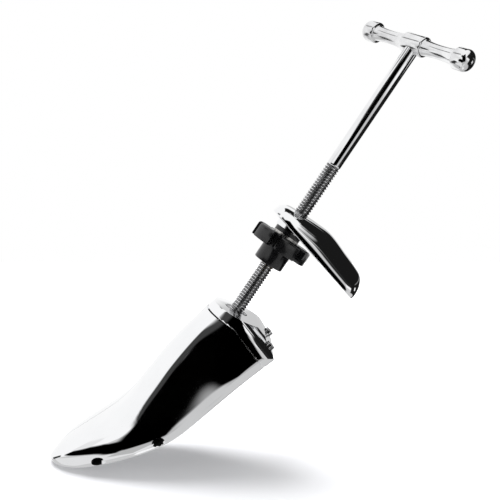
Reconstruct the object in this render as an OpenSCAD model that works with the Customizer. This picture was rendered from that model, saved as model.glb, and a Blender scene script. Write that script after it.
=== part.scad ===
// Two-way shoe stretcher: a split last that a T handle opens in width, and a heel block set with a knob.
// Toe towards -X, handle towards +X, sole on z = 0, the split between the halves on y = 0. Millimetres.

/* [Last] */
// Length from the toe tip to the nose of the back cap
last_l = 171; // [150:1:200]
// Width across the ball
ball_w = 80; // [70:1:92]
// Width across the waist behind the ball
waist_w = 55; // [48:1:62]
// Width across the back cap
back_w = 55; // [50:1:64]
// Height of the ridge at the back
back_h = 53.5; // [50:0.5:60]
// Height of the ridge over the ball
vamp_h = 38; // [34:0.5:44]
// Height of the toe's top
toe_h = 41; // [38:0.5:46]
// Lift of the sole at the toe tip
toe_spring = 31; // [26:0.5:34]
// Wall of the hollow halves
wall = 4; // [3:0.25:5]
// Gap of the split between the halves
split = 2.2; // [1.6:0.1:3]
// Roundness of the section over the top: 1 is an ellipse, less is fuller
fullness = 0.71; // [0.65:0.01:1]
// Radius of the rounded corners at the back
back_corner_r = 12; // [6:0.5:16]

/* [Plug holes] */
// Diameter of the holes for spot-stretching plugs
plug_hole_d = 6.6; // [4:0.1:8]
// Diameter of the bevel round each plug hole
plug_bevel_d = 8.6; // [8.2:0.1:10]

/* [Spindle] */
// Elevation of the spindle above the sole
spindle_elev = 18.4; // [16:0.1:21]
// Major diameter of the thread
thread_d = 10; // [8:0.5:11]
// Depth of the thread
thread_depth = 0.8; // [0.4:0.05:1]
// Pitch of the thread
thread_pitch = 2; // [1.5:0.25:3]
// Diameter of the smooth shank
shank_d = 9.6; // [8:0.1:10]
// Where the thread ends, along the spindle from the back cap
thread_end = 114; // [104:1:130]
// Where the handle crosses, along the spindle from the back cap
handle_s = 208.5; // [190:1:240]
// Reach of the spindle into the last
spindle_reach = 71; // [70:1:74]

/* [Handle] */
// Overall length of the T bar
bar_l = 93; // [80:1:110]
// Diameter of the end caps
cap_d = 13.8; // [12:0.1:16]
// Length of an end cap
cap_l = 11.5; // [9:0.5:14]
// Diameter of the bar at its waist
neck_d = 8.6; // [7:0.1:10]
// Diameter of the central collar
collar_d = 13; // [12:0.1:15]
// Length of the central collar
collar_l = 17; // [15:0.5:20]
// Turn of the bar about the spindle
bar_turn = 42.6; // [0:0.1:90]
// Diameter of the cross pin in the collar
cross_pin_d = 3; // [2:0.1:4]

/* [Knob] */
// Where the knob's hub starts, along the spindle from the back cap
knob_s = 36; // [34:0.5:44]
// Diameter over the lobes
knob_d = 41; // [36:0.5:42]
// Height of the lobed part
lobe_h = 10; // [8:0.5:12]
// Diameter of the hub
hub_d = 21; // [19:0.5:24]
// Height of the hub
hub_h = 11.4; // [9:0.2:14]
// Number of lobes
lobe_count = 6; // [5:1:8]
// Width of the recess between two lobes
recess_w = 6; // [4:0.5:7]
// Bevel of the lobed part's edge
lobe_bevel = 1.4; // [0.6:0.1:2]
// Outer diameter of the threaded insert
insert_d = 15; // [13.5:0.5:16]

/* [Heel block] */
// Height of the block
heel_h = 76.5; // [74:0.5:86]
// Width of the block
heel_w = 43; // [38:1:50]
// Greatest depth of the block
heel_depth = 18.4; // [17:0.2:24]
// Lean of the front face, top towards the toe
heel_lean = 3.4; // [2:0.1:4.5]
// Thickness of the rim round the front face
heel_rim = 2; // [1:0.25:3]
// Outer diameter of the bush's barrel
bush_d = 15; // [13.5:0.5:17]
// Outer diameter of the bush's flange
flange_d = 19; // [18:0.5:21]
// Length of the bush inside the block
bush_l = 9; // [7:0.5:10]
// Thickness of the bush's flange
flange_t = 3; // [2:0.25:3.5]

/* [Hinge] */
// Distance of each hinge pin from the split
hinge_y = 15; // [14.5:0.1:15.5]
// Distance of the hinge pins from the origin
hinge_x = 79.5; // [79:0.1:80]
// Diameter of a hinge pin
hinge_pin_d = 4; // [3:0.1:4.4]
// Outer diameter of the knuckles and ears
knuckle_d = 7.6; // [7:0.1:8]
// Height of the hinge bracket's top above the sole
bracket_top = 31; // [29:0.25:31.5]
// Thickness of an ear
ear_t = 4.6; // [3.5:0.1:5.5]
// Thickness of the bracket's plate
bracket_t = 3; // [2:0.25:3.2]
// Distance of the back screws from the split
screw_y = 20; // [18.5:0.1:20.2]
// Height of the back screws above the sole
screw_z = 9; // [8.6:0.1:10]
// Diameter of a back screw
screw_d = 3; // [2.5:0.1:3.2]
// Diameter of a back screw's knurled head
screw_head_d = 6.6; // [6:0.1:7.4]
// Height of a back screw's head
screw_head_h = 3.6; // [3:0.1:4.5]

/* [Spreader] */
// Length of the wedge nut
wedge_l = 15; // [14:0.5:16]
// Height of the wedge nut
wedge_h = 14; // [12.5:0.5:15]
// Half width of the wedge nut at its thin end
wedge_tip = 6.8; // [6.5:0.1:7.2]
// Half angle of the wedge
wedge_angle = 7.1; // [6.5:0.1:7.1]
// Travel of the wedge towards the toe
wedge_travel = 16; // [12:0.5:16]
// What is left of the spindle in front of the wedge at full travel
wedge_stop = 2; // [1:0.25:4]
// Radius of the cam posts that the wedge pushes apart
cam_r = 3; // [2.5:0.1:3.4]
// Outer diameter of the thrust collar
thrust_d = 17; // [15:0.5:17]
// Length of the thrust collar
thrust_l = 5; // [4:0.25:5.5]
// Diameter of the roll pin in the thrust collar
collar_pin_d = 2.5; // [2:0.1:3]
// Distance from the spindle's tip forward to the spring screws
spring_ahead = 9.6; // [8:0.2:11]
// Distance of each spring screw from the split
spring_y = 14; // [13:0.25:16]
// Outer diameter of the return spring
spring_d = 7; // [6:0.25:8]
// Diameter of the spring wire
wire_d = 1; // [0.8:0.1:1.2]

/* [Fits] */
// Running clearance on a radius
run = 0.08; // [0.05:0.01:0.1]
// Gap between faces that turn on each other
face_gap = 0.1; // [0.05:0.05:0.15]
// Gap between the halves and the back cap
cap_gap = 0.9; // [0.85:0.05:1.1]
// Gap between the wedge and the cam posts
cam_gap = 0.25; // [0.2:0.05:0.4]

/* [Hidden] */
$fn = 64;

// Chrome, steel, brass and the black of the knob
chrome = "lightgrey";
steel = "grey";
brass = "goldenrod";
black = [0.08, 0.08, 0.08];

// The axis of the spindle crosses the back cap's slanted face here
axis_x = 95;
axis_z = 39;
far_out = 400;
spring_x = axis_x - spindle_reach * cos(spindle_elev) - spring_ahead;

// Positions along the last, as distances from the toe tip
nose_x = 100;
toe_x = nose_x - last_l;
ball_x = toe_x + 0.463 * last_l;
waist_x = toe_x + 0.814 * last_l;
flat_x = toe_x + 0.509 * last_l;
toe_cap_x = toe_x + 0.122 * last_l;
vamp_x = toe_x + 0.387 * last_l;
ridge_rise_x = waist_x - 25;
ridge_level_x = nose_x - 17;
side_level_x = nose_x - 7;
side_end_x = nose_x + 6;
edge_h = 9;
edge_r = 6;

// The back face slants from the top edge to the nose, and the surface under the nose is nearly upright
back_top_x = 86;
nose_z = 21;
heel_corner_x = 94;
cap_front_s = -9.5;
cap_front_x = 87.5;

// Values of the fits and of the pieces that stack along the spindle
thread_r = thread_d / 2;
bore_r = thread_r + run;
lobe_s = knob_s + hub_h;
knob_top_s = lobe_s + lobe_h;
washer_t = 1.5;
knob_washer_s = knob_top_s + face_gap;
flange_s = knob_washer_s + washer_t + face_gap;
heel_seat_s = flange_s + flange_t;
cap_washer_t = 1.2;
cap_washer_s = cap_front_s - face_gap - cap_washer_t;
thrust_s = cap_washer_s - face_gap - thrust_l;
ring_t = 1;
ring_r = thread_r + 2.4;
ring_seat_s = -4;
ring_s = ring_seat_s + face_gap;
wedge_s = wedge_stop + wedge_travel - spindle_reach;
wedge_slope = tan(wedge_angle);

// Smooth curve through a short list of [position, value] points
function span(x, p, i = 0) = (i >= len(p) - 2 || x < p[i + 1][0]) ? i : span(x, p, i + 1);
function slope(p, i) =
    let (a = max(i - 1, 0), b = min(i + 1, len(p) - 1))
    (p[b][1] - p[a][1]) / (p[b][0] - p[a][0]);
function curve(x, p) =
    let (i = span(x, p), h = p[i + 1][0] - p[i][0], u = min(max((x - p[i][0]) / h, 0), 1))
    p[i][1] * (1 + 2 * u) * (1 - u) * (1 - u) + slope(p, i) * h * u * (1 - u) * (1 - u)
    + p[i + 1][1] * u * u * (3 - 2 * u) - slope(p, i + 1) * h * u * u * (1 - u);

// Half width, ridge height and sole height of the last at a place along it
function half_width(x) =
    x < ball_x
    ? ball_w / 2 * sqrt(max(1 - pow((ball_x - x) / (ball_x - toe_x), 2.6), 0))
    : curve(x, [[ball_x, ball_w / 2], [(ball_x + waist_x) / 2, ball_w * 0.26 + waist_w * 0.23],
                [waist_x, waist_w / 2], [side_level_x, back_w / 2], [side_end_x, back_w / 2]]);
function ridge_line(x) =
    curve(x, [[toe_x, toe_h + 0.5], [toe_cap_x, toe_h], [vamp_x, vamp_h],
              [ball_x + 3, (vamp_h + back_h) * 0.45], [ridge_rise_x, back_h - 5],
              [ridge_level_x, back_h - 0.5], [side_end_x, back_h]]);
function sole_line(x) = x > flat_x ? 0 : toe_spring * pow((flat_x - x) / (flat_x - toe_x), 1.25);
function tip_close(x) =
    x > toe_cap_x ? 1 : sqrt(max(1 - pow((toe_cap_x - x) / (toe_cap_x - toe_x), 2), 0));
function top_z(x) =
    let (m = (ridge_line(x) + sole_line(x)) / 2)
    m + (ridge_line(x) - m) * tip_close(x);
function sole_z(x) =
    let (m = (ridge_line(x) + sole_line(x)) / 2)
    m - (m - sole_line(x)) * tip_close(x);

// One half section, from the middle of the sole out and up to the ridge, inset by a wall thickness
arch_steps = 13;
under_steps = 4;
function half_section(x, inset, split_y) =
    let (w = max(half_width(x) - inset, split_y + 0.2), top = top_z(x) - inset, low = sole_z(x) + inset,
         wide_z = low + min(edge_h - inset / 2, 0.32 * (top - low)), r = min(edge_r, 0.4 * w))
    concat([[x, split_y, low]],
           [for (i = [under_steps:-1:0])
               let (a = 90 * i / under_steps)
               [x, max(w - r * (1 - cos(a)), split_y + 0.1), wide_z - (wide_z - low) * sin(a)]],
           [for (i = [1:arch_steps])
               let (a = 90 * i / arch_steps)
               [x, split_y + (w - split_y) * pow(cos(a), fullness),
                wide_z + (top - wide_z) * pow(sin(a), fullness)]]);

// Closed skin over a row of rings with the same number of points
module loft(rings) {
    n = len(rings[0]);
    m = len(rings);
    polyhedron(
        points = [for (ring = rings) for (p = ring) p],
        faces = concat(
            [[for (j = [0:n - 1]) j]],
            [for (i = [0:m - 2]) for (j = [0:n - 1])
                [i * n + j, (i + 1) * n + j, (i + 1) * n + (j + 1) % n]],
            [for (i = [0:m - 2]) for (j = [0:n - 1])
                [i * n + j, (i + 1) * n + (j + 1) % n, i * n + (j + 1) % n]],
            [[for (j = [n - 1:-1:0]) (m - 1) * n + j]]));
}

toe_steps = 9;
body_steps = 20;
tip_start = 0.3;
outer_end = nose_x + 4;
function outer_stations() =
    concat([for (i = [0:toe_steps - 1])
               toe_x + tip_start + (toe_cap_x - toe_x - tip_start) * (1 - cos(90 * i / toe_steps))],
           [for (i = [0:body_steps]) toe_cap_x + (outer_end - toe_cap_x) * i / body_steps]);
module outer_half() {
    loft([for (x = outer_stations()) half_section(x, 0, split / 2)]);
}

toe_solid_l = 24;
cavity_x = toe_x + toe_solid_l;
cavity_steps = 14;
module cavity_half() {
    loft([for (i = [0:cavity_steps])
             let (x = cavity_x + (outer_end - cavity_x) * i / cavity_steps)
             half_section(x, wall, 0)]);
}

// Places things along the spindle: local z runs from the last towards the handle
module on_spindle(s = 0) {
    translate([axis_x, 0, axis_z]) rotate([0, 90 - spindle_elev, 0]) translate([0, 0, s]) children();
}
function spindle_point(s) = [axis_x + s * cos(spindle_elev), 0, axis_z + s * sin(spindle_elev)];
function face_x(s, z) =
    axis_x + (s - (z - axis_z) * sin(spindle_elev)) / cos(spindle_elev);

// Everything in front of the back cap, moved forward by a gap; cutters reach a little above the last
above = 8;
above_z = back_h + above;
module front_region(gap) {
    s = cap_front_s - gap;
    x = cap_front_x - gap;
    knee_z = axis_z + (s - (x - axis_x) * cos(spindle_elev)) / sin(spindle_elev);
    translate([0, back_w, 0]) rotate([90, 0, 0]) linear_extrude(2 * back_w)
        polygon([[-far_out, -1], [x, -1], [x, knee_z], [face_x(s, above_z), above_z], [-far_out, above_z]]);
}

// The side outline of the back cap behind the slanted front
module cap_region() {
    x = cap_front_x;
    knee_z = axis_z + (cap_front_s - (x - axis_x) * cos(spindle_elev)) / sin(spindle_elev);
    nose_run = (nose_x - back_top_x) / (back_h - nose_z);
    translate([0, back_w, 0]) rotate([90, 0, 0]) linear_extrude(2 * back_w)
        polygon([[x, 0], [heel_corner_x, 0], [heel_corner_x + 2.4, 2.6], [nose_x - 2.4, 9], [nose_x, nose_z],
                 [back_top_x - above * nose_run, above_z], [face_x(cap_front_s, above_z), above_z],
                 [x, knee_z]]);
}
module cap_plan() {
    translate([0, 0, -1]) linear_extrude(above_z + 1) {
        translate([-back_w, -back_w]) square([back_w + nose_x - back_corner_r, 2 * back_w]);
        translate([0, back_corner_r - back_w / 2]) square([nose_x, back_w - 2 * back_corner_r]);
        for (side = [-1, 1])
            translate([nose_x - back_corner_r, side * (back_w / 2 - back_corner_r)]) circle(back_corner_r);
    }
}

ear_low_z = wall + 1;
knuckle_low_z = ear_low_z + ear_t + face_gap * 4;
knuckle_top_z = bracket_top - ear_t - face_gap * 4;
plug_toe_x = toe_x + 0.211 * last_l;
plug_ball_x = toe_x + 0.453 * last_l;
plug_boss_l = 4;
web_inset = 0.5;
head_gap = 0.2;
cam_x = 47;
cam_z = 23;
cam_s = (cam_x - axis_x) * cos(spindle_elev) + (cam_z - axis_z) * sin(spindle_elev);
cam_y = wedge_tip + (cam_s - wedge_s) * wedge_slope + cam_r / cos(wedge_angle) + cam_gap;
cam_h = 13;
spring_screw_d = 4;
spring_screw_top = 22;
spring_z = 17;
spring_head_d = 7.4;
spring_head_h = 2.2;
spring_head_z = 0.5;
spring_boss_d = 9;
spring_boss_top = 12;

// A plug hole points inwards and up from the rounded edge of the sole
plug_tilt = 20;
module at_plug(x, rise) {
    w = half_width(x);
    low = sole_z(x);
    wide = min(edge_h, 0.32 * (top_z(x) - low));
    y = w - edge_r * (1 - cos(asin(1 - rise / wide)));
    translate([x, y, low + rise]) rotate([90 - plug_tilt, 0, 0]) children();
}
plug_toe_rise = 3.4;
plug_ball_rise = 4.4;
bevel_out = 2;
module plug_hole(x, rise) {
    at_plug(x, rise) {
        translate([0, 0, -wall]) cylinder(d = plug_hole_d, h = 2 * wall + plug_boss_l);
        translate([0, 0, -bevel_out])
            cylinder(d1 = plug_bevel_d + 2 * bevel_out, d2 = plug_hole_d,
                     h = bevel_out + (plug_bevel_d - plug_hole_d) / 2);
    }
}
module plug_boss(x, rise) {
    at_plug(x, rise) translate([0, 0, wall / 2]) cylinder(d = plug_bevel_d + 1, h = wall / 2 + plug_boss_l);
}

// The half on the +Y side; the other is its mirror image
module toe_half() {
    difference() {
        intersection() {
            outer_half();
            front_region(cap_gap);
            union() {
                difference() {
                    translate([-far_out, 0, -1]) cube([2 * far_out, far_out, far_out]);
                    cavity_half();
                }
                // Hinge knuckle and its web to the side wall
                translate([hinge_x, hinge_y, knuckle_low_z])
                    cylinder(d = knuckle_d, h = knuckle_top_z - knuckle_low_z);
                translate([hinge_x - knuckle_d / 2 + web_inset, hinge_y, knuckle_low_z])
                    cube([knuckle_d - 4 * web_inset, far_out, knuckle_top_z - knuckle_low_z]);
                // Cam post and its web to the side wall
                translate([cam_x, cam_y, wall / 2]) cylinder(r = cam_r, h = cam_z + cam_h / 2 - wall / 2);
                translate([cam_x - cam_r + web_inset, cam_y, wall / 2])
                    cube([2 * (cam_r - web_inset), far_out, cam_z + cam_h / 2 - wall / 2]);
                // Boss of the spring screw
                translate([spring_x, spring_y, wall / 2])
                    cylinder(d = spring_boss_d, h = spring_boss_top - wall / 2);
                plug_boss(plug_toe_x, plug_toe_rise);
                plug_boss(plug_ball_x, plug_ball_rise);
            }
        }
        translate([hinge_x, hinge_y, ear_low_z])
            cylinder(r = hinge_pin_d / 2 + run, h = bracket_top - ear_low_z);
        translate([spring_x, spring_y, -1]) cylinder(d = spring_screw_d, h = spring_screw_top);
        translate([spring_x, spring_y, -1])
            cylinder(d = spring_head_d + 2 * head_gap, h = 1 + spring_head_z + spring_head_h);
        plug_hole(plug_toe_x, plug_toe_rise);
        plug_hole(plug_ball_x, plug_ball_rise);
    }
}
module toe_half_left() {
    color(chrome) mirror([0, 1, 0]) toe_half();
}
module toe_half_right() {
    color(chrome) toe_half();
}

// Cast cap that closes the back and carries the spindle
screw_seat_x = nose_x - 3.6;
module back_cap() {
    color(chrome) difference() {
        intersection() {
            for (side = [0, 1]) mirror([0, side, 0]) loft([for (i = [0:6])
                let (x = cap_front_x - back_corner_r + (outer_end - cap_front_x + back_corner_r) * i / 6)
                half_section(x, 0, 0)]);
            cap_region();
            cap_plan();
        }
        on_spindle(cap_front_s - 1) cylinder(r = bore_r, h = far_out);
        on_spindle(cap_front_s - far_out) cylinder(d = thrust_d + 1, h = far_out);
        on_spindle(ring_seat_s) cylinder(r = ring_r + 0.8, h = far_out);
        for (side = [-1, 1]) translate([0, side * screw_y, screw_z]) rotate([0, 90, 0]) {
            cylinder(d = screw_d, h = far_out);
            translate([0, 0, screw_seat_x]) cylinder(d = screw_head_d + 4 * head_gap, h = far_out);
        }
    }
}

// Steel bracket inside the last with two ears on each side
bracket_w = 2 * (screw_y + screw_d / 2 + 0.7);
bracket_notch_z = 24;
bracket_cut = 2.5;
bracket_low_z = ear_low_z + 1.8;
module hinge_bracket() {
    color(steel) difference() {
        union() {
            translate([cap_front_x - bracket_t, 0, 0]) rotate([90, 0, 90]) linear_extrude(bracket_t)
                polygon([[-bracket_w / 2, bracket_notch_z], [-bracket_w / 2, screw_z],
                         [bracket_cut - bracket_w / 2, bracket_low_z],
                         [bracket_w / 2 - bracket_cut, bracket_low_z],
                         [bracket_w / 2, screw_z], [bracket_w / 2, bracket_notch_z]]);
            for (side = [-1, 1]) {
                translate([cap_front_x - bracket_t, side * hinge_y - knuckle_d / 2, ear_low_z])
                    cube([bracket_t, knuckle_d, bracket_top - ear_low_z]);
                for (z = [ear_low_z, bracket_top - ear_t]) translate([0, side * hinge_y, z]) {
                    translate([hinge_x, 0, 0]) cylinder(d = knuckle_d, h = ear_t);
                    translate([hinge_x, -knuckle_d / 2, 0]) cube([cap_front_x - hinge_x, knuckle_d, ear_t]);
                }
            }
        }
        for (side = [-1, 1]) {
            translate([hinge_x, side * hinge_y, 0]) cylinder(d = hinge_pin_d, h = back_h);
            translate([0, side * screw_y, screw_z]) rotate([0, 90, 0]) cylinder(d = screw_d, h = far_out);
        }
    }
}
module hinge_pins() {
    color(steel) for (side = [-1, 1])
        translate([hinge_x, side * hinge_y, ear_low_z])
            cylinder(d = hinge_pin_d, h = bracket_top - ear_low_z);
}
knurl_count = 24;
module back_screws() {
    color(steel) for (side = [-1, 1]) translate([0, side * screw_y, screw_z]) rotate([0, 90, 0]) {
        translate([0, 0, cap_front_x - bracket_t])
            cylinder(d = screw_d, h = screw_seat_x - cap_front_x + bracket_t);
        translate([0, 0, screw_seat_x]) difference() {
            cylinder(d = screw_head_d, h = screw_head_h);
            for (i = [0:knurl_count - 1]) rotate(360 / knurl_count * i)
                translate([screw_head_d / 2, 0, 0.8]) rotate(45) translate([-0.25, -0.25, 0])
                    cube([0.5, 0.5, screw_head_h]);
            translate([0, 0, screw_head_h - 1.6]) cylinder(d = 3, h = 2, $fn = 6);
        }
    }
}

// Threaded spindle with a smooth shank; each turn of the thread is drawn as a ring
spindle_top_s = handle_s + collar_d / 2 - 2;
thread_turns = floor((thread_end + spindle_reach - 2) / thread_pitch);
module spindle() {
    root_r = thread_r - thread_depth;
    crest = thread_pitch * 0.22;
    flank = thread_pitch * 0.28;
    start = -spindle_reach;
    groove_low = ring_s - 0.05;
    groove_top = ring_s + ring_t + 0.05;
    color(chrome) difference() {
        on_spindle() rotate_extrude()
            polygon(concat(
                [[0, start], [root_r - 0.8, start], [root_r, start + 1]],
                [for (i = [0:thread_turns - 1]) let (z = start + 1 + i * thread_pitch)
                    each [[root_r, z + flank / 2], [thread_r, z + 1.5 * flank],
                          [thread_r, z + 1.5 * flank + crest], [root_r, z + 2.5 * flank + crest]]],
                [[root_r, thread_end - 1], [shank_d / 2, thread_end], [shank_d / 2, spindle_top_s],
                 [0, spindle_top_s]]));
        on_spindle(groove_low) difference() {
            cylinder(r = thread_r + 1, h = groove_top - groove_low);
            translate([0, 0, -1]) cylinder(r = root_r - 0.3, h = 4);
        }
        collar_pin_at(far_out);
        cross_pin(far_out);
    }
}
module collar_pin_at(reach) {
    on_spindle(thrust_s + thrust_l / 2) rotate([90, 0, 0])
        cylinder(d = collar_pin_d, h = reach, center = true);
}
module thrust_collar() {
    color(steel) difference() {
        on_spindle(thrust_s) cylinder(d = thrust_d, h = thrust_l);
        on_spindle(thrust_s - 1) cylinder(r = thread_r, h = thrust_l + 2);
        collar_pin_at(far_out);
    }
}
module collar_pin() {
    color(steel) collar_pin_at(thrust_d - 2 * pin_below);
}
module cap_washer() {
    color(brass) on_spindle(cap_washer_s) difference() {
        cylinder(d = thrust_d, h = cap_washer_t);
        translate([0, 0, -1]) cylinder(r = bore_r, h = cap_washer_t + 2);
    }
}
module retaining_ring() {
    color(steel) on_spindle(ring_s) difference() {
        cylinder(r = ring_r, h = ring_t);
        translate([0, 0, -1]) cylinder(r = thread_r - thread_depth - 0.3, h = ring_t + 2);
        translate([-1.6, 0, -1]) cube([3.2, 20, ring_t + 2]);
    }
}

// Wedge nut: thin end towards the toe, threaded on the spindle
module wedge_nut() {
    back = wedge_tip + wedge_l * wedge_slope;
    color(brass) difference() {
        on_spindle(wedge_s) rotate([0, -90, 0]) translate([0, 0, -wedge_h / 2]) linear_extrude(wedge_h)
            polygon([[0, -wedge_tip], [0, wedge_tip], [wedge_l, back], [wedge_l, -back]]);
        on_spindle(wedge_s - 1) cylinder(r = bore_r, h = wedge_l + 2);
    }
}

// Screws that stand in the halves and hold the ends of the return spring
module spring_screw(side) {
    color(steel) translate([spring_x, side * spring_y, spring_head_z]) {
        difference() {
            cylinder(d = spring_head_d, h = spring_head_h);
            translate([0, 0, -1]) cylinder(d = 3, h = 2.2, $fn = 6);
        }
        cylinder(d = spring_screw_d, h = spring_screw_top - spring_head_z);
        translate([0, 0, spring_screw_top - spring_head_z]) cylinder(d = spring_screw_d + 2, h = 1.2);
    }
}
module spring_screw_left() { spring_screw(-1); }
module spring_screw_right() { spring_screw(1); }
module return_spring() {
    eye_r = spring_screw_d / 2 + wire_d / 2 + face_gap;
    coil_half = spring_y - eye_r - wire_d - 1.5;
    coil_r = (spring_d - wire_d) / 2;
    turns = floor(2 * coil_half / wire_d);
    color(steel) translate([spring_x, 0, spring_z]) {
        rotate([90, 0, 0]) translate([0, 0, -turns * wire_d / 2]) rotate_extrude() {
            translate([coil_r - wire_d * 0.3, 0]) square([wire_d * 0.6, turns * wire_d]);
            for (i = [0:turns - 1]) translate([coil_r, (i + 0.5) * wire_d]) circle(d = wire_d, $fn = 16);
        }
        for (side = [-1, 1]) {
            translate([0, side * spring_y, 0]) rotate_extrude() translate([eye_r, 0]) circle(d = wire_d, $fn = 16);
            translate([0, side * (spring_y - eye_r), 0]) rotate([side * 90, 0, 0])
                cylinder(d = wire_d, h = spring_y - eye_r - coil_half + wire_d);
            translate([-coil_r, side * (coil_half - wire_d / 2), 0]) rotate([0, 90, 0])
                cylinder(d = wire_d, h = 2 * coil_r);
        }
    }
}

// The cross pin holds the bar on the spindle; it is pressed in from one side and stops inside the collar
pin_sink = 0.5;
pin_below = 0.3;
module cross_pin(reach) {
    on_spindle(handle_s) rotate(bar_turn) rotate([0, 90, 0]) translate([0, 0, -shank_d / 2 - pin_sink])
        cylinder(d = cross_pin_d, h = reach);
}

// T bar, turned from one piece: collar, waisted grips and domed end caps
module handle_bar() {
    half = bar_l / 2;
    cap_start = half - cap_l;
    neck = [for (i = [0:12]) let (u = i / 12)
               [neck_d / 2 + (collar_d / 2 - 1.3 - neck_d / 2) * pow(abs(2 * u - 1), 2.2),
                collar_l / 2 + 0.6 + (cap_start - 1.4 - collar_l / 2) * u]];
    dome = [for (i = [0:8]) let (a = 90 * i / 8)
               [cap_d / 2 * cos(a) + 0.01 * (8 - i) / 8, half - 5 + 5 * sin(a)]];
    side = concat([[collar_d / 2 - 0.5, collar_l / 2], [collar_d / 2 - 1.1, collar_l / 2 + 0.4]], neck,
                  [[cap_d / 2 - 0.9, cap_start - 0.4], [cap_d / 2 - 0.4, cap_start]], dome);
    back = [for (i = [len(side) - 1:-1:0]) [side[i][0], -side[i][1]]];
    color(chrome) difference() {
        on_spindle(handle_s) rotate(bar_turn) rotate([90, 0, 0]) rotate_extrude()
            polygon(concat([for (p = back) [max(p[0], 0), p[1]]],
                           [[collar_d / 2, 0.5 - collar_l / 2], [collar_d / 2, collar_l / 2 - 0.5]],
                           [for (p = side) [max(p[0], 0), p[1]]]));
        on_spindle(handle_s - 20) cylinder(d = shank_d, h = spindle_top_s - handle_s + 20);
        cross_pin(far_out);
    }
}
module handle_pin() {
    color(steel) cross_pin(shank_d / 2 + pin_sink + collar_d / 2 - pin_below);
}

// Black length knob with its brass insert
insert_inset = 0.5;
module knob() {
    outer = knob_d / 2;
    color(black) on_spindle() difference() {
        union() {
            translate([0, 0, knob_s]) cylinder(d = hub_d, h = hub_h);
            translate([0, 0, lobe_s]) intersection() {
                linear_extrude(lobe_h) difference() {
                    circle(outer);
                    for (i = [0:lobe_count - 1]) rotate(360 / lobe_count * (i + 0.2)) {
                        translate([hub_d / 2 + recess_w / 2 + 0.5, 0]) circle(d = recess_w);
                        translate([hub_d / 2 + recess_w / 2 + 0.5, -recess_w / 2]) square([outer, recess_w]);
                    }
                }
                rotate_extrude() polygon([[0, 0], [outer, 0], [outer, lobe_h - lobe_bevel],
                                          [outer - lobe_bevel, lobe_h], [0, lobe_h]]);
            }
        }
        translate([0, 0, knob_s + insert_inset]) cylinder(d = insert_d, h = hub_h + lobe_h);
        translate([0, 0, knob_s - 1]) cylinder(r = thread_r + 0.6, h = 10);
    }
}
module knob_insert() {
    color(brass) on_spindle(knob_s + insert_inset) difference() {
        cylinder(d = insert_d, h = hub_h + lobe_h - insert_inset - 0.2);
        translate([0, 0, -1]) cylinder(r = bore_r, h = hub_h + lobe_h + 2);
    }
}
module knob_washer() {
    color(steel) on_spindle(knob_washer_s) difference() {
        cylinder(d = flange_d, h = washer_t);
        translate([0, 0, -1]) cylinder(r = bore_r, h = washer_t + 2);
    }
}

// Heel block: flat front, round back, narrower and rounded at the top and the bottom
heel_steps = 18;
knob_corner = spindle_point(knob_top_s) + knob_d / 2 * [sin(spindle_elev), 0, -cos(spindle_elev)];
knob_to_heel = 0.5;
heel_low = 10;
heel_high = 17;
function heel_front(z) = knob_corner[0] + knob_to_heel + (knob_corner[2] - z) * tan(heel_lean);
function heel_half_w(z) =
    let (low = min(z / heel_low, 1), high = min((heel_h - z) / heel_high, 1))
    heel_w / 2 * (0.66 + 0.34 * sqrt(1 - pow(1 - low, 2))) * (0.36 + 0.64 * sqrt(1 - pow(1 - high, 2)));
function heel_deep(z) =
    heel_depth * curve(z / heel_h, [[0, 0.32], [0.03, 0.6], [0.08, 0.8], [0.15, 0.875], [0.3, 0.93], [0.53, 1],
                                    [0.69, 0.87], [0.81, 0.73], [0.91, 0.6], [0.97, 0.48], [1, 0.3]]);
function heel_ring(z) =
    let (w = heel_half_w(z), front = heel_front(z), rim = min(heel_rim, 0.2 * heel_deep(z)))
    concat([[front, -w, z]],
           [for (i = [0:heel_steps]) let (a = 180 * i / heel_steps - 90)
               [front + rim + (heel_deep(z) - rim) * cos(a), w * sin(a), z]],
           [[front, w, z]]);
function heel_levels() =
    concat([for (f = [0, 0.1, 0.25, 0.45, 0.7]) f * heel_low],
           [for (i = [0:10]) heel_low + (heel_h - heel_low - heel_high) * i / 10],
           [for (f = [0.3, 0.5, 0.68, 0.82, 0.92, 0.98, 1]) heel_h - heel_high * (1 - f)]);
bush_end_s = heel_seat_s + bush_l;
boss_l = 11;
boss_wall = 1;
exit_gap = 0.3;
module heel_block() {
    color(chrome) difference() {
        union() {
            loft([for (z = heel_levels()) heel_ring(z)]);
            on_spindle(heel_seat_s) cylinder(d = flange_d + 2 * boss_wall, h = boss_l);
        }
        on_spindle(heel_seat_s - far_out) cylinder(d = flange_d + 3 * boss_wall, h = far_out);
        on_spindle(heel_seat_s - 1) cylinder(d = bush_d, h = bush_l + 1);
        on_spindle(heel_seat_s) cylinder(r = bore_r + exit_gap, h = far_out);
    }
}
module heel_bush() {
    color(black) difference() {
        union() {
            on_spindle(flange_s) cylinder(d = flange_d, h = flange_t);
            on_spindle(flange_s) cylinder(d = bush_d, h = bush_end_s - flange_s);
        }
        on_spindle(flange_s - 1) cylinder(r = bore_r, h = bush_end_s - flange_s + 2);
    }
}

toe_half_left();
toe_half_right();
back_cap();
hinge_bracket();
hinge_pins();
back_screws();
spindle();
thrust_collar();
collar_pin();
cap_washer();
retaining_ring();
wedge_nut();
spring_screw_left();
spring_screw_right();
return_spring();
handle_bar();
handle_pin();
knob();
knob_insert();
knob_washer();
heel_block();
heel_bush();
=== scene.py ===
"""Shoe stretcher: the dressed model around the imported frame.

A split last that a wedge opens, a slanted threaded spindle with a T bar, a length knob and a heel block.
Sizes are millimetres in the model's own frame: toe towards -X, handle towards +X, sole on z = 0.
"""
import logging
import math
from collections.abc import Callable, Iterator, Sequence
from contextlib import contextmanager
from dataclasses import dataclass, field
from enum import Enum
from functools import partial

import bpy
from mathutils import Matrix, Vector


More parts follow.
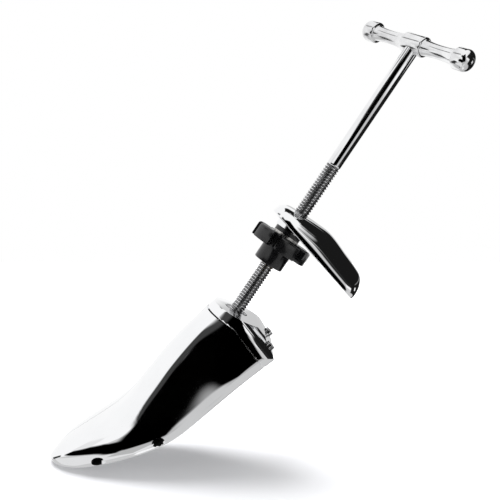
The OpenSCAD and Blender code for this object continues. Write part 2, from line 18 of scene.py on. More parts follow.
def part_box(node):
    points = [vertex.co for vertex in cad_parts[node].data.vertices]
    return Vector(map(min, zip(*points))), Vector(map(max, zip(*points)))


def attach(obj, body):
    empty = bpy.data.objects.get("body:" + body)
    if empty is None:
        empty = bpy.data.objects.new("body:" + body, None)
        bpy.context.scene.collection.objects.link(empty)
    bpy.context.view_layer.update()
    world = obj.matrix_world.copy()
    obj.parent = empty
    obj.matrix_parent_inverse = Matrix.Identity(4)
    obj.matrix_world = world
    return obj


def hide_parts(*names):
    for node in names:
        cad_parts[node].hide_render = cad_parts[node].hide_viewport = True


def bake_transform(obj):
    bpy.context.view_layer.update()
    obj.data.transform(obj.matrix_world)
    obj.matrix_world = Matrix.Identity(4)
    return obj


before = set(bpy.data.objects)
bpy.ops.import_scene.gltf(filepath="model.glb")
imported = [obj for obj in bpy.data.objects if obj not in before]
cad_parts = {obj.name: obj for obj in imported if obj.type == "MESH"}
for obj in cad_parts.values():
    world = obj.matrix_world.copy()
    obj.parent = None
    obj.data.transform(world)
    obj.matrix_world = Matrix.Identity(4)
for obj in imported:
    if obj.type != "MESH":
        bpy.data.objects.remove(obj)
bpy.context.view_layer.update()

MM = 0.001
WELD = 1e-7
WHITE = (1, 1, 1, 1)
LOG = logging.getLogger("stretcher")

Point = tuple[float, float, float]
Pair = tuple[float, float]


class Cut(Enum):
    """How one solid shapes another."""

    TAKE_AWAY = "DIFFERENCE"
    JOIN = "UNION"
    KEEP_COMMON = "INTERSECT"


# Tools of the bench


def pick(obj: bpy.types.Object) -> None:
    """Makes one object the only selected one, and the active one."""
    bpy.ops.object.select_all(action="DESELECT")
    obj.select_set(True)
    bpy.context.view_layer.objects.active = obj


@contextmanager
def editing(obj: bpy.types.Object) -> Iterator[None]:
    """Opens edit mode on one object with everything selected, and leaves it again."""
    pick(obj)
    bpy.ops.object.mode_set(mode="EDIT")
    bpy.ops.mesh.select_mode(type="VERT")
    bpy.ops.mesh.select_all(action="SELECT")
    yield
    bpy.ops.object.mode_set(mode="OBJECT")


def settle(obj: bpy.types.Object, matrix: Matrix | None = None) -> bpy.types.Object:
    """Moves an object and puts its place into its mesh.

    Args:
        obj: The object, still at its own origin.
        matrix: Where it goes, or None where it is in place already.

    Returns:
        The same object, at the origin and unturned.
    """
    if matrix is not None:
        obj.matrix_world = matrix
    pick(obj)
    bpy.ops.object.transform_apply(location=True, rotation=True, scale=True)
    return obj


def face_out() -> None:
    """Selects the whole mesh in edit mode and turns its faces outwards."""
    bpy.ops.mesh.select_all(action="SELECT")
    bpy.ops.mesh.normals_make_consistent(inside=False)


def outwards(obj: bpy.types.Object) -> None:
    """Merges doubles and turns every face outwards."""
    with editing(obj):
        bpy.ops.mesh.remove_doubles(threshold=WELD)
        face_out()


def rotated(turn: float, axis: str) -> Matrix:
    """A turn about one axis by an angle in degrees."""
    return Matrix.Rotation(math.radians(turn), 4, axis)


def moved(x: float, y: float, z: float) -> Matrix:
    """A move given in millimetres."""
    return Matrix.Translation((x * MM, y * MM, z * MM))


def skin(name: str, rings: Sequence[Sequence[Point]]) -> bpy.types.Object:
    """Wraps a grid round a row of closed rings and closes both ends.

    Args:
        name: The object's name.
        rings: Rings of equally many points, in millimetres.

    Returns:
        A closed solid.
    """
    around, count = len(rings[0]), len(rings)
    bpy.ops.object.select_all(action="DESELECT")
    bpy.ops.mesh.primitive_grid_add(x_subdivisions=around, y_subdivisions=count - 1, size=1)
    obj = bpy.context.object
    obj.name = name
    points = [ring[j % around] for ring in rings for j in range(around + 1)]
    obj.data.vertices.foreach_set("co", [c * MM for p in points for c in p])
    with editing(obj):
        bpy.ops.mesh.remove_doubles(threshold=WELD)
        bpy.ops.mesh.fill_holes(sides=0)
        face_out()
    return obj


def turned(name: str, profile: Sequence[Pair], segments: int = 64) -> bpy.types.Object:
    """Turns a solid on the Z axis: a disc is extruded and resized step by step.

    Args:
        name: The object's name.
        profile: Radius and height of each step, in millimetres.
        segments: Sides of the round.

    Returns:
        A closed solid about the Z axis.
    """
    radius, height = profile[0]
    bpy.ops.object.select_all(action="DESELECT")
    bpy.ops.mesh.primitive_circle_add(
        vertices=segments, radius=radius * MM, fill_type="NGON", location=(0, 0, height * MM))
    obj = settle(bpy.context.object)
    obj.name = name
    with editing(obj):
        for next_radius, next_height in profile[1:]:
            bpy.ops.mesh.extrude_region_move(
                TRANSFORM_OT_translate={"value": (0, 0, (next_height - height) * MM)})
            ratio = next_radius / radius
            bpy.ops.transform.resize(value=(ratio, ratio, 1), center_override=(0, 0, next_height * MM))
            radius, height = next_radius, next_height
        face_out()
    return obj


def prism(name: str, outline: Sequence[Pair], low: float, high: float) -> bpy.types.Object:
    """Extrudes an outline in the XY plane along Z.

    Args:
        name: The object's name.
        outline: Corners in millimetres, in order.
        low: Lower end of the prism.
        high: Upper end of the prism.

    Returns:
        A closed solid.
    """
    bpy.ops.object.select_all(action="DESELECT")
    bpy.ops.mesh.primitive_circle_add(vertices=len(outline), radius=1, fill_type="NGON")
    obj = bpy.context.object
    obj.name = name
    obj.data.vertices.foreach_set("co", [c for x, y in outline for c in (x * MM, y * MM, low * MM)])
    with editing(obj):
        bpy.ops.mesh.extrude_region_move(TRANSFORM_OT_translate={"value": (0, 0, (high - low) * MM)})
        face_out()
    return obj


def shape(body: bpy.types.Object, tool: bpy.types.Object, cut: Cut = Cut.TAKE_AWAY) -> bpy.types.Object:
    """Shapes a solid with another, which is used up.

    Args:
        body: The solid that stays.
        tool: The solid that is used up.
        cut: Whether it is taken away, joined or kept in common.

    Returns:
        The shaped solid.
    """
    pick(body)
    step = body.modifiers.new("shape", "BOOLEAN")
    step.operation = cut.value
    step.object = tool
    step.solver = "EXACT"
    step.material_mode = "INDEX"
    bpy.ops.object.modifier_apply(modifier=step.name)
    bpy.data.objects.remove(tool)
    return body


def ease_edges(obj: bpy.types.Object, width: float, angle: float = 40, segments: int = 3) -> None:
    """Rounds every edge sharper than an angle by a small width in millimetres."""
    pick(obj)
    step = obj.modifiers.new("eased edges", "BEVEL")
    step.width = width * MM
    step.segments = segments
    step.limit_method = "ANGLE"
    step.angle_limit = math.radians(angle)
    step.miter_outer = "MITER_ARC"
    bpy.ops.object.modifier_apply(modifier=step.name)


def polish(obj: bpy.types.Object, angle: float = 32) -> None:
    """Shades an object smooth, apart from edges sharper than an angle in degrees."""
    pick(obj)
    bpy.ops.object.shade_smooth_by_angle(angle=math.radians(angle))


def slice_off(obj: bpy.types.Object, at: Vector, away: Vector) -> None:
    """Cuts an object with a plane and closes it; what lies on the side that away points to is dropped."""
    with editing(obj):
        bpy.ops.mesh.bisect(plane_co=at * MM, plane_no=away, use_fill=True, clear_outer=True, threshold=WELD)
    outwards(obj)


def smooth_line(x: float, knots: Sequence[Pair]) -> float:
    """Value at x of a smooth curve through knots of position and value."""
    last = len(knots) - 1
    i = next((k for k in range(last) if x < knots[k + 1][0]), last - 1)

    def slope(k: int) -> float:
        """Slope of the curve at a knot."""
        a, b = knots[max(k - 1, 0)], knots[min(k + 1, last)]
        return (b[1] - a[1]) / (b[0] - a[0])

    run = knots[i + 1][0] - knots[i][0]
    u = min(max((x - knots[i][0]) / run, 0), 1)
    return (knots[i][1] * (1 + 2 * u) * (1 - u) ** 2 + slope(i) * run * u * (1 - u) ** 2
            + knots[i + 1][1] * u * u * (3 - 2 * u) - slope(i + 1) * run * u * u * (1 - u))


def even_steps(line: Sequence[Pair], count: int) -> list[Pair]:
    """Places points along a line at even distances.

    Args:
        line: Many points of the line.
        count: How many steps the result has.

    Returns:
        count + 1 points, the ends included.
    """
    lengths = [0.0]
    for a, b in zip(line, line[1:]):
        lengths.append(lengths[-1] + math.dist(a, b))
    result, k = [], 0
    for i in range(count + 1):
        want = lengths[-1] * i / count
        while k < len(line) - 2 and lengths[k + 1] < want:
            k += 1
        share = (want - lengths[k]) / max(lengths[k + 1] - lengths[k], 1e-12)
        share = min(max(share, 0), 1)
        a, b = line[k], line[k + 1]
        result.append((a[0] + (b[0] - a[0]) * share, a[1] + (b[1] - a[1]) * share))
    return result


def dress(obj: bpy.types.Object, finishes: Sequence["Finish"]) -> None:
    """Gives an object its finishes, one for each material slot, and keeps what each face has."""
    kept = [min(face.material_index, len(finishes) - 1) for face in obj.data.polygons]
    obj.data.materials.clear()
    for finish in finishes:
        obj.data.materials.append(finish.material())
    obj.data.polygons.foreach_set("material_index", kept)


def deliver(obj: bpy.types.Object, body: str, finishes: Sequence["Finish"], slot: str, *nodes: str) -> None:
    """Dresses a finished piece, hangs it on its body and reports it.

    Args:
        obj: The finished piece.
        body: The body it rides on.
        finishes: One finish for each of its material slots.
        slot: The record's material slot; not used.
        nodes: The frame's nodes that it stands for.
    """
    dress(obj, finishes)
    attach(obj, body)
    if nodes:
        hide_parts(*nodes)
    LOG.info("%s: %d faces on %s", obj.name, len(obj.data.polygons), body)


# Finishes


def effect_group(name: str, inputs: Sequence[tuple[str, str, object]], outputs: Sequence[tuple[str, str]]
                 ) -> tuple[bpy.types.NodeTree, bpy.types.Node, bpy.types.Node]:
    """Starts a shader group with named sockets.

    Args:
        name: The group's name.
        inputs: Name, socket type and default of each input.
        outputs: Name and socket type of each output.

    Returns:
        The group, its input node and its output node.
    """
    group = bpy.data.node_groups.new(name, "ShaderNodeTree")
    for label, kind, default in inputs:
        socket = group.interface.new_socket(name=label, in_out="INPUT", socket_type=kind)
        if default is not None:
            socket.default_value = default
    for label, kind in outputs:
        group.interface.new_socket(name=label, in_out="OUTPUT", socket_type=kind)
    return group, group.nodes.new("NodeGroupInput"), group.nodes.new("NodeGroupOutput")


def feed(tree: bpy.types.NodeTree, node: bpy.types.Node, feeds: dict[str | int, object]) -> None:
    """Fills a node's inputs: a number goes on the socket itself, and a socket is linked to it."""
    for label, value in feeds.items():
        if isinstance(value, bpy.types.NodeSocket):
            tree.links.new(value, node.inputs[label])
        else:
            node.inputs[label].default_value = value


def add_node(tree: bpy.types.NodeTree, kind: str, feeds: dict[str | int, object] | None = None,
             **settings: object) -> bpy.types.Node:
    """Adds a shader node.

    Args:
        tree: The material, world or group that it goes into.
        kind: Its type.
        feeds: What each input takes, by the input's name or number.
        settings: The node's own settings.

    Returns:
        The node.
    """
    node = tree.nodes.new(kind)
    for label, value in settings.items():
        setattr(node, label, value)
    feed(tree, node, feeds or {})
    return node


def add_math(tree: bpy.types.NodeTree, operation: str, *inputs: object) -> bpy.types.NodeSocket:
    """Adds a math node fed by sockets or numbers, and gives its result."""
    return add_node(tree, "ShaderNodeMath", dict(enumerate(inputs)), operation=operation).outputs[0]


def marks_group() -> bpy.types.NodeTree:
    """Soft patches of handling, from faint to clear, as a mask."""
    if "handling marks" in bpy.data.node_groups:
        return bpy.data.node_groups["handling marks"]
    group, start, end = effect_group(
        "handling marks",
        [("Vector", "NodeSocketVector", None), ("Scale", "NodeSocketFloat", 60.0)],
        [("Mask", "NodeSocketFloat")])
    patches = add_node(group, "ShaderNodeTexNoise", {
        "Vector": start.outputs["Vector"], "Scale": start.outputs["Scale"], "Detail": 5, "Roughness": 0.6})
    spread = add_node(group, "ShaderNodeMapRange", {
        "Value": patches.outputs["Fac"], "From Min": 0.38, "From Max": 0.68})
    feed(group, end, {"Mask": spread.outputs["Result"]})
    return group


def lines_group() -> bpy.types.NodeTree:
    """Fine lines left by polishing or turning, as a height."""
    if "tool lines" in bpy.data.node_groups:
        return bpy.data.node_groups["tool lines"]
    group, start, end = effect_group(
        "tool lines",
        [("Vector", "NodeSocketVector", None), ("Stretch", "NodeSocketVector", (1.0, 1.0, 1.0)),
         ("Scale", "NodeSocketFloat", 400.0)],
        [("Height", "NodeSocketFloat")])
    stretch = add_node(group, "ShaderNodeVectorMath", {
        0: start.outputs["Vector"], 1: start.outputs["Stretch"]}, operation="MULTIPLY")
    fine = add_node(group, "ShaderNodeTexNoise", {
        "Vector": stretch.outputs["Vector"], "Scale": start.outputs["Scale"], "Detail": 3})
    feed(group, end, {"Height": fine.outputs["Fac"]})
    return group


@dataclass(frozen=True)
class Finish:
    """A surface: its colours, gloss, handling marks and tool lines."""

    name: str
    colour: Point
    worn: Point
    metallic: float
    gloss: Pair
    mark_scale: float = 45.0
    line_scale: float = 500.0
    line_stretch: Point = (1.0, 1.0, 1.0)
    relief: float = 0.002
    strength: float = 0.1
    turn: Point = (0.0, 0.0, 0.0)

    def material(self) -> bpy.types.Material:
        """The finish as a material, made once."""
        if self.name in bpy.data.materials:
            return bpy.data.materials[self.name]
        made = bpy.data.materials.new(self.name)
        made.use_nodes = True
        tree = made.node_tree
        place = add_node(tree, "ShaderNodeTexCoord")
        turn = add_node(tree, "ShaderNodeMapping", {
            "Vector": place.outputs["Object"], "Rotation": [math.radians(a) for a in self.turn]})
        marks = add_node(tree, "ShaderNodeGroup", {
            "Vector": turn.outputs["Vector"], "Scale": self.mark_scale}, node_tree=marks_group())
        lines = add_node(tree, "ShaderNodeGroup", {
            "Vector": turn.outputs["Vector"], "Scale": self.line_scale, "Stretch": self.line_stretch},
            node_tree=lines_group())
        tone = add_node(tree, "ShaderNodeMix", {
            0: marks.outputs["Mask"], 6: (*self.colour, 1), 7: (*self.worn, 1)}, data_type="RGBA")
        rough = add_node(tree, "ShaderNodeMapRange", {
            "Value": marks.outputs["Mask"], "To Min": self.gloss[0], "To Max": self.gloss[1]})
        bump = add_node(tree, "ShaderNodeBump", {
            "Height": lines.outputs["Height"], "Strength": self.strength, "Distance": self.relief * MM})
        feed(tree, tree.nodes["Principled BSDF"], {
            "Metallic": self.metallic, "Base Color": tone.outputs[2], "Roughness": rough.outputs["Result"],
            "Normal": bump.outputs["Normal"]})
        return made


ALONG_SPINDLE = (0, 71.6, 0)
CHROME = Finish("mirror chrome", (0.93, 0.935, 0.945), (0.90, 0.905, 0.915), 1.0, (0.015, 0.06), 30, 260,
                relief=0.004, strength=0.12)
# Inside of the halves: rough cast chrome whose dark grey colour is partly painted shade of the hollow.
ROUGH_CHROME_AND_HOLLOW_SHADE = Finish("rough cast chrome, painted hollow shade", (0.30, 0.30, 0.31), (0.18, 0.18, 0.19), 1.0, (0.28, 0.5),
                      220, 900, relief=0.12, strength=0.6)
# Near-black painted shade on the walls of the plug holes.
HOLE_SHADE = Finish("painted hole shade", (0.05, 0.05, 0.05), (0.02, 0.02, 0.02), 0.6, (0.45, 0.7), 300, 900,
                 relief=0.02, strength=0.3)
ROD_CHROME = Finish("turned chrome", (0.90, 0.905, 0.915), (0.80, 0.80, 0.81), 1.0, (0.04, 0.13), 60, 700,
                    (0.15, 0.15, 6), 0.006, 0.2, ALONG_SPINDLE)
# Darker grey painted shade in the grooves between the thread's crests.
THREAD_GROOVE_SHADE = Finish("thread root, painted groove shade", (0.36, 0.36, 0.365), (0.16, 0.16, 0.16), 1.0, (0.2, 0.4), 200, 900,
                     (0.15, 0.15, 6), 0.01, 0.3, ALONG_SPINDLE)
GRIP_CHROME = Finish("brushed grip chrome", (0.90, 0.905, 0.91), (0.68, 0.68, 0.69), 1.0, (0.06, 0.18),
                     90, 420, (0.12, 0.12, 7), 0.01, 0.35)
STEEL = Finish("plated steel", (0.62, 0.61, 0.59), (0.42, 0.41, 0.40), 1.0, (0.22, 0.42), 160, 900,
               relief=0.02, strength=0.35)
SPRING_STEEL = Finish("spring wire", (0.5, 0.5, 0.52), (0.3, 0.29, 0.28), 1.0, (0.2, 0.35), 220, 1200,
                      relief=0.01, strength=0.3)
BRASS = Finish("machined brass", (0.78, 0.58, 0.27), (0.55, 0.39, 0.17), 1.0, (0.16, 0.38), 140, 900,
               (0.2, 0.2, 8), 0.01, 0.3, ALONG_SPINDLE)
BLACK = Finish("moulded black plastic", (0.006, 0.006, 0.0065), (0.012, 0.012, 0.0125), 0.0, (0.12, 0.26),
               110, 1600, relief=0.02, strength=0.3)


# Places that the pieces share


@dataclass(frozen=True)
class SpindleLine:
    """The slanted axis that the spindle, knob, heel block and handle share."""

    x: float = 95.0
    z: float = 39.0
    rise: float = 18.4

    def matrix(self, s: float = 0.0) -> Matrix:
        """Carries +Z at the origin to the spindle at a distance s from the back cap."""
        return moved(self.x, 0, self.z) @ rotated(90 - self.rise, "Y") @ moved(0, 0, s)

    def point(self, s: float) -> Vector:
        """The axis at a distance s, in millimetres."""
        return Vector((self.x, 0, self.z)) + s * self.direction()

    def direction(self) -> Vector:
        """Unit vector towards the handle."""
        a = math.radians(self.rise)
        return Vector((math.cos(a), 0, math.sin(a)))

    def rod(self, name: str, radius: float, low: float, high: float, segments: int = 64) -> bpy.types.Object:
        """A plain round tool on the axis, from low to high."""
        return settle(turned(name, [(radius, low), (radius, high)], segments), self.matrix())


AXIS = SpindleLine()


@dataclass(frozen=True)
class LastShape:
    """The form of the split last and its back cap."""

    toe_x: float = -71.0
    length: float = 171.0
    nose_x: float = 100.0
    ball_w: float = 79.96
    waist_w: float = 55.0
    back_w: float = 55.0
    back_h: float = 53.5
    vamp_h: float = 38.0
    toe_h: float = 41.0
    toe_spring: float = 31.0
    fullness: float = 0.71
    edge_h: float = 9.0
    edge_r: float = 6.0
    lip: float = 0.45
    ease: float = 16.0

    def at(self, share: float) -> float:
        """Position at a share of the length from the toe."""
        return self.toe_x + share * self.length

    def eased(self, line: Callable[[float], float], x: float) -> float:
        """A line's value at x, averaged over a short stretch so that its mirror image has no kinks."""
        reach = min(self.ease, 0.22 * max(x - self.toe_x, 0))
        taps = [(k, math.exp(-0.5 * (k / 2.2) ** 2)) for k in range(-5, 6)]
        return sum(line(x + reach * k / 5) * weight for k, weight in taps) / sum(weight for _, weight in taps)

    def half_width(self, x: float) -> float:
        """Half the width at x."""
        return self.eased(self.plain_half_width, x)

    def heights(self, x: float) -> Pair:
        """Sole and ridge height at x."""
        return (self.eased(lambda at: self.plain_heights(at)[0], x),
                self.eased(lambda at: self.plain_heights(at)[1], x))

    def plain_half_width(self, x: float) -> float:
        """Half the width at x, before it is eased."""
        ball_x, waist_x = self.at(0.463), self.at(0.814)
        if x < ball_x:
            return self.ball_w / 2 * math.sqrt(max(1 - ((ball_x - x) / (ball_x - self.toe_x)) ** 2.6, 0))
        return smooth_line(x, [
            (ball_x, self.ball_w / 2), ((ball_x + waist_x) / 2, self.ball_w * 0.26 + self.waist_w * 0.23),
            (waist_x, self.waist_w / 2), (self.nose_x - 7, self.back_w / 2),
            (self.nose_x + 6, self.back_w / 2)])

    def plain_heights(self, x: float) -> Pair:
        """Sole and ridge height at x, before they are eased."""
        cap_x, flat_x, ball_x, waist_x = self.at(0.122), self.at(0.509), self.at(0.463), self.at(0.814)
        ridge = smooth_line(x, [
            (self.toe_x, self.toe_h + 0.5), (cap_x, self.toe_h), (self.at(0.387), self.vamp_h),
            (ball_x + 3, (self.vamp_h + self.back_h) * 0.45), (waist_x - 25, self.back_h - 5),
            (self.nose_x - 17, self.back_h - 0.5), (self.nose_x + 6, self.back_h)])
        sole = 0 if x > flat_x else self.toe_spring * ((flat_x - x) / (flat_x - self.toe_x)) ** 1.25
        middle = (ridge + sole) / 2
        close = 1.0 if x > cap_x else math.sqrt(max(1 - ((cap_x - x) / (cap_x - self.toe_x)) ** 2, 0))
        return middle - (middle - sole) * close, middle + (ridge - middle) * close

    def section(self, x: float, inset: float, split_y: float, arch: int = 64,
                lip: bool = False) -> list[Point]:
        """Half section from the middle of the sole, out and up to the ridge.

        Args:
            x: Place along the last.
            inset: Distance in from the outer skin.
            split_y: Where the section starts and ends, off the middle.
            arch: Steps over the arch.
            lip: Whether the edges along the split are eased.

        Returns:
            Points in millimetres.
        """
        low, top = self.heights(x)
        low, top = low + inset, top - inset
        width = max(self.half_width(x) - inset, split_y + 0.2)
        ease = min(self.lip, 0.15 * (width - split_y), 0.2 * (top - low)) if lip else 0.0
        begin = split_y + ease
        wide_z = low + min(self.edge_h - inset / 2, 0.32 * (top - low))
        radius = min(self.edge_r, 0.4 * width)
        turn = [math.radians(90 - 90 * i / 12) for i in range(13)]
        under = [(max(width - radius * (1 - math.cos(a)), begin + 0.1), wide_z - (wide_z - low) * math.sin(a))
                 for a in turn]
        dense = [math.radians(90 * i / 300) for i in range(301)]
        over = [(begin + (width - begin) * max(math.cos(a), 0) ** self.fullness,
                 wide_z + (top - wide_z) * math.sin(a) ** self.fullness) for a in dense]
        over[-1] = (begin, top)
        line = even_steps([(begin, low), under[0]], 8)[:-1] + under + even_steps(over, arch)[1:]
        if lip:
            corner = [math.radians(30 * i) for i in (1, 2, 3)]
            bend = [(split_y + ease * (1 - math.sin(a)), ease * (1 - math.cos(a))) for a in corner]
            start = [(y, low + z) for y, z in reversed(bend)]
            line = start + line + [(y, top - z) for y, z in bend]
        return [(x, y, z) for y, z in line]


LAST = LastShape()


# Pieces


@dataclass
class ToeHalf:
    """One hollow half of the last, with its knuckle, cam post, spring boss and plug holes."""

    split: float = 2.2
    wall: float = 4.0
    front_s: float = -9.5
    front_x: float = 87.5
    gap: float = 0.9
    plug_d: float = 6.6
    plug_bevel: float = 8.6
    plug_tilt: float = 20.0
    plugs: tuple[tuple[float, float], ...] = ((0.211, 3.4), (0.453, 4.4))
    hinge: Point = (79.5, 15.0, 18.0)
    knuckle_d: float = 7.6
    cam: Point = (47.0, 12.34, 29.5)
    cam_r: float = 3.0
    spring: Point = (18.03, 14.0, 12.0)
    pin_r: float = 2.08
    screw_head: Pair = (3.9, 2.7)
    screw_r: float = 2.0
    # Slots: outer chrome, inner chrome partly darkened as painted shade, and near-black painted shade in the
    # plug holes.
    finishes: tuple[Finish, ...] = (CHROME, ROUGH_CHROME_AND_HOLLOW_SHADE, HOLE_SHADE)

    def stations(self, start: float, end: float, count: int) -> list[float]:
        """Places along the last, closer together at the toe."""
        cap_x, tip = LAST.at(0.122), 34
        near = [start + (cap_x - start) * (1 - math.cos(math.radians(90 * i / tip))) for i in range(tip)]
        return near + [cap_x + (end - cap_x) * i / count for i in range(count + 1)]

    def plug_matrix(self, share: float, rise: float) -> Matrix:
        """Where a plug hole enters the rounded edge, with +Z pointing inwards."""
        x = LAST.at(share)
        low, top = LAST.heights(x)
        wide = min(LAST.edge_h, 0.32 * (top - low))
        y = LAST.half_width(x) - LAST.edge_r * (1 - math.cos(math.asin(1 - rise / wide)))
        return moved(x, y, low + rise) @ rotated(90 - self.plug_tilt, "X")

    def box(self, x: Pair, y: Pair, z: Pair) -> bpy.types.Object:
        """A block between two corners."""
        return prism("block", [(x[0], y[0]), (x[1], y[0]), (x[1], y[1]), (x[0], y[1])], z[0], z[1])

    def post(self, x: float, y: float, radius: float, low: float, high: float) -> bpy.types.Object:
        """An upright round post."""
        return settle(turned("post", [(radius, low), (radius, high)], 48), moved(x, y, 0))

    def hollow(self) -> bpy.types.Object:
        """The room inside the half, less the posts that stand in it."""
        start = LAST.toe_x + 24
        rings = []
        for i in range(61):
            x = start + (104 - start) * i / 60
            line = LAST.section(x, self.wall, 0, 28)
            rings.append([(px, py - (0.5 if k in (0, len(line) - 1) else 0), pz)
                          for k, (px, py, pz) in enumerate(line)])
        room = skin("room", rings)
        hx, hy, _ = self.hinge
        low, high, far = 10.0, 26.0, 60.0
        shape(room, self.post(hx, hy, self.knuckle_d / 2, low, high))
        shape(room, self.box((hx - 3.4, hx + 2.2), (hy, far), (low, high)))
        cx, cy, top = self.cam
        shape(room, self.post(cx, cy, self.cam_r, -1, top))
        shape(room, self.box((cx - 2.5, cx + 2.5), (cy, far), (-1, top)))
        sx, sy, boss = self.spring
        shape(room, self.post(sx, sy, 4.5, -1, boss))
        for share, rise in self.plugs:
            boss_r = self.plug_bevel / 2 + 0.5
            boss_piece = turned("plug boss", [(boss_r, 2), (boss_r, 8)], 48)
            shape(room, settle(boss_piece, self.plug_matrix(share, rise)))
        return room

    def right(self) -> bpy.types.Object:
        """The half on the +Y side."""
        half = skin("right_half", [LAST.section(x, 0, self.split / 2, lip=True)
                                   for x in self.stations(LAST.toe_x + 0.33, 104, 120)])
        room = self.hollow()
        dress(half, self.finishes)
        dress(room, self.finishes)
        # The room's faces take the inner finish: rough cast chrome, darkened as painted shade inside the
        # hollow.
        for face in room.data.polygons:
            face.material_index = 1
        shape(half, room)
        slice_off(half, Vector((self.front_x - self.gap, 0, 0)), Vector((1, 0, 0)))
        slice_off(half, AXIS.point(self.front_s - self.gap), AXIS.direction())
        hx, hy, _ = self.hinge
        shape(half, self.post(hx, hy, self.pin_r, 5, 31))
        sx, sy, _ = self.spring
        head_r, head_z = self.screw_head
        screw_hole = turned("screw hole", [
            (head_r, -1), (head_r, head_z), (self.screw_r, head_z), (self.screw_r, 21)], 48)
        shape(half, settle(screw_hole, moved(sx, sy, 0)))
        flare = (self.plug_bevel - self.plug_d) / 2
        for share, rise in self.plugs:
            hole = turned("plug hole", [(self.plug_bevel / 2 + 2, -2), (self.plug_d / 2, flare),
                                        (self.plug_d / 2, self.wall + 4)], 64)
            dress(hole, self.finishes)
            # Hole walls below the flare take the near-black painted shade; the flare keeps the chrome.
            for face in hole.data.polygons:
                face.material_index = 2 if face.center.z > flare * MM * 1.2 else 0
            shape(half, settle(hole, self.plug_matrix(share, rise)))
        return half

    def build(self) -> None:
        """Makes both halves and hangs each on its body."""
        right = self.right()
        left = right.copy()
        left.data = right.data.copy()
        left.name = "left_half"
        bpy.context.scene.collection.objects.link(left)
        settle(left, Matrix.Scale(-1, 4, (0, 1, 0)))
        outwards(left)
        for obj, side in ((left, "left"), (right, "right")):
            polish(obj)
            deliver(obj, f"{side}_half", self.finishes, "chrome", f"toe_half_{side}")


@dataclass
class RearCap:
    """The cast cap that closes the back and carries the spindle."""

    front_s: float = -9.5
    front_x: float = 87.5
    nose: Pair = (100.0, 21.0)
    top_x: float = 86.0
    corner_r: float = 12.0
    bore_r: float = 5.08
    seat_s: float = -4.0
    seat_r: float = 8.2
    screw_y: float = 20.0
    screw_z: float = 9.0

    def side_outline(self) -> list[Pair]:
        """The cap seen from the side: slanted front, rounded nose and nearly upright lower back."""
        nose_x, nose_z = self.nose
        run = (nose_x - self.top_x) / (LAST.back_h - nose_z)
        a = math.radians(AXIS.rise)
        high = LAST.back_h + 8
        front_top = AXIS.x + (self.front_s - (high - AXIS.z) * math.sin(a)) / math.cos(a)
        knee_z = AXIS.z + (self.front_s - (self.front_x - AXIS.x) * math.cos(a)) / math.sin(a)
        lower = [(94, -1), (95.6, 1.4), (96.7, 4), (97.4, 7), (98.2, 11), (98.95, 15), (99.5, 18)]
        nose = [(99.82, 19.9), (99.95, 21.0), (99.8, 22.1), (99.45, 23.2)]
        return [(self.front_x, -1), *lower, *nose, (self.top_x - 8 * run, high), (front_top, high),
                (self.front_x, knee_z)]

    def plan_outline(self) -> list[Pair]:
        """The cap seen from above: a block with two rounded corners at the back."""
        half, r = LAST.back_w / 2, self.corner_r
        arc = [math.radians(90 * i / 20) for i in range(21)]
        right = [(self.nose[0] - r + r * math.sin(a), half - r + r * math.cos(a)) for a in arc]
        return [(50, -half - 1), *[(x, -y) for x, y in right], *reversed(right), (50, half + 1)]

    def build(self) -> None:
        """Makes the cap and hangs it on the back."""
        rings = []
        for i in range(25):
            line = LAST.section(74 + 30 * i / 24, 0, 0, 48)
            rings.append([*line, *[(x, -y, z) for x, y, z in reversed(line[1:-1])]])
        cap = skin("rear_cap", rings)
        side = settle(prism("side", self.side_outline(), -40, 40), rotated(90, "X"))
        shape(cap, side, Cut.KEEP_COMMON)
        shape(cap, prism("plan", self.plan_outline(), -5, 80), Cut.KEEP_COMMON)
        ease_edges(cap, 0.7)
        shape(cap, AXIS.rod("bore", self.bore_r, -30, 30))
        shape(cap, AXIS.rod("collar pocket", 9, -60, self.front_s))
        shape(cap, AXIS.rod("ring seat", self.seat_r, self.seat_s, 40, 96))
        for side_y in (-self.screw_y, self.screw_y):
            seat = turned("screw seat", [(1.5, 70), (1.5, 96.4), (3.7, 96.4), (3.7, 120)], 48)
            shape(cap, settle(seat, moved(0, side_y, self.screw_z) @ rotated(90, "Y")))
        outwards(cap)
        polish(cap)
        deliver(cap, "back", (CHROME,), "chrome", "back_cap")


